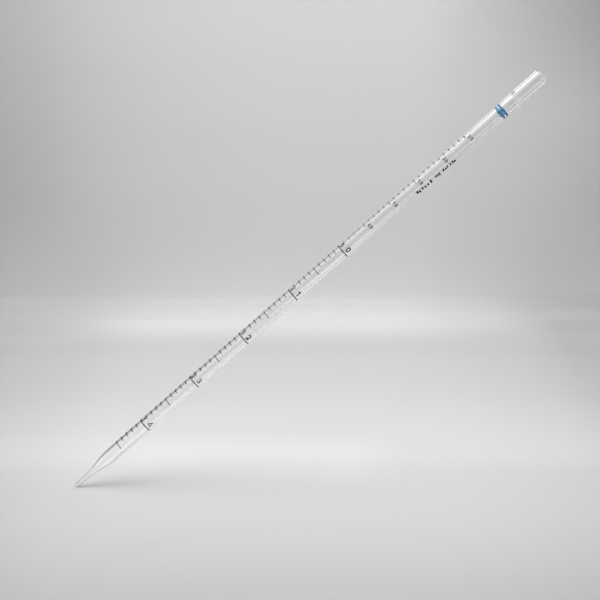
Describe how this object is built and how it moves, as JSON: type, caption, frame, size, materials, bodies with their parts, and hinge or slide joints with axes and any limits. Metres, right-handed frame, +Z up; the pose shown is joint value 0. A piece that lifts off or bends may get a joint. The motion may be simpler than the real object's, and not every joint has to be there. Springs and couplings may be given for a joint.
{
  "type": "serological pipette",
  "caption": "Straight clear plastic measuring pipette with a drawn tip, a flared mouthpiece, printed volume scales and a blue double ring for its capacity.",
  "frame": {"origin": "centre of the tip's end face, at the orifice", "axes": "+Z up the pipette's axis from the tip to the mouth; the printed scale faces -Y; +X to the right of a reader who faces the scale"},
  "size_m": [0.0088, 0.0088, 0.342],
  "materials": {
    "clear_polystyrene": "clear, glossy",
    "black_ink": "printed film, satin",
    "blue_ink": "printed film, satin"
  },
  "bodies": {
    "root": {"tip": "clear_polystyrene", "barrel_tube": "clear_polystyrene", "mouthpiece": "clear_polystyrene", "colour_band_lower_ring": "blue_ink", "colour_band_upper_ring": "blue_ink", "whole_ml_lines": "black_ink", "half_ml_lines": "black_ink", "tenth_ml_lines": "black_ink", "overfill_lines": "black_ink", "descending_numerals": "black_ink", "ascending_numerals": "black_ink", "overfill_numerals": "black_ink", "legend_blocks": "black_ink"}
  },
  "joints": []
}
